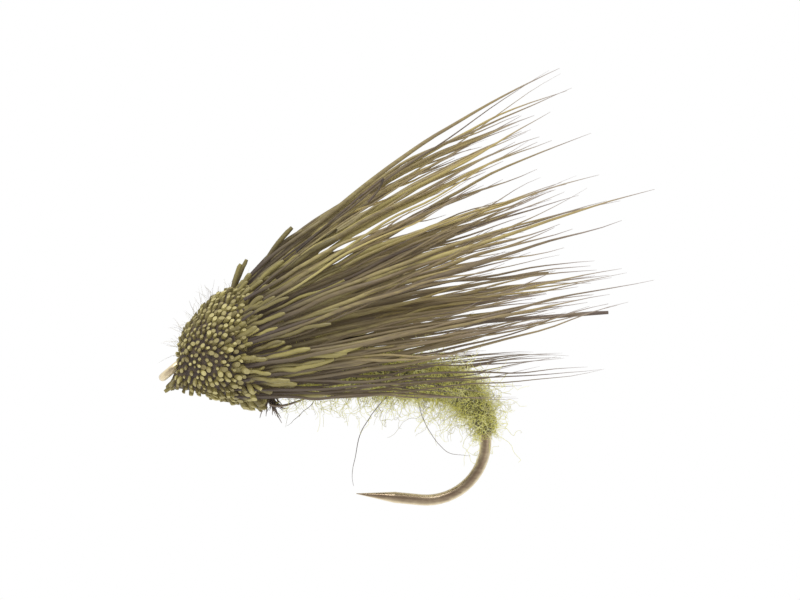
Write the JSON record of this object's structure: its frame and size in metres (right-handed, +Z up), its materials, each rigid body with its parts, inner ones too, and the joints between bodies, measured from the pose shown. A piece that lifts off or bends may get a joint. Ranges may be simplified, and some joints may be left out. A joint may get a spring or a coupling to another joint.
{
  "type": "deer hair sedge dry fly",
  "caption": "Dry fly on a barbless down-eye hook: bullet head of trimmed spun deer hair, swept-back deer hair wing, collar of cut hair and a dubbed olive body that runs round the bend.",
  "frame": {"origin": "centre of the hook eye", "axes": "+X along the shank from the eye to the bend; +Z up, away from the hook point; +Y across the fly"},
  "size_m": [0.0237, 0.0148, 0.0216],
  "materials": {
    "hook_wire": "bronzed wire, brown with pale gold edges",
    "tying_thread": "waxed dark brown thread",
    "head_varnish": "clear varnish over dark thread",
    "cut_hair": "dyed deer hair with pale yellow-olive cut ends",
    "wing_hair": "dyed deer hair, olive brown, dark towards the tips",
    "olive_dubbing": "loose olive and lime curly fibre",
    "waxed_trimmings": "dark waxed hair ends"
  },
  "bodies": {
    "hook_and_body": {"hook": "hook_wire", "thread_base": "tying_thread", "dubbed_body": "olive_dubbing", "clump_lashing_2": "tying_thread", "clump_lashing_3": "tying_thread", "clump_lashing_4": "tying_thread", "whip_finish": "tying_thread", "varnish_drop": "head_varnish", "wing_lashing": "tying_thread", "head_clump_1": "cut_hair", "head_clump_2": "cut_hair", "head_clump_3": "cut_hair", "head_clump_4": "cut_hair", "throat_tuft": "waxed_trimmings", "picked_fibres": "olive_dubbing"},
    "wing": {"wing_bunch_inner": "wing_hair", "wing_bunch_middle": "wing_hair", "wing_bunch_outer": "wing_hair", "collar_right": "cut_hair", "collar_left": "cut_hair"}
  },
  "joints": [
    {"name": "wing_flex", "type": "hinge", "parent": "hook_and_body", "child": "wing", "pos_m": [0.00415, 0, 0.00062], "axis": [0, -1, 0], "range_deg": [-8, 6], "stiffness_Nm_per_rad": 0.0001}
  ]
}
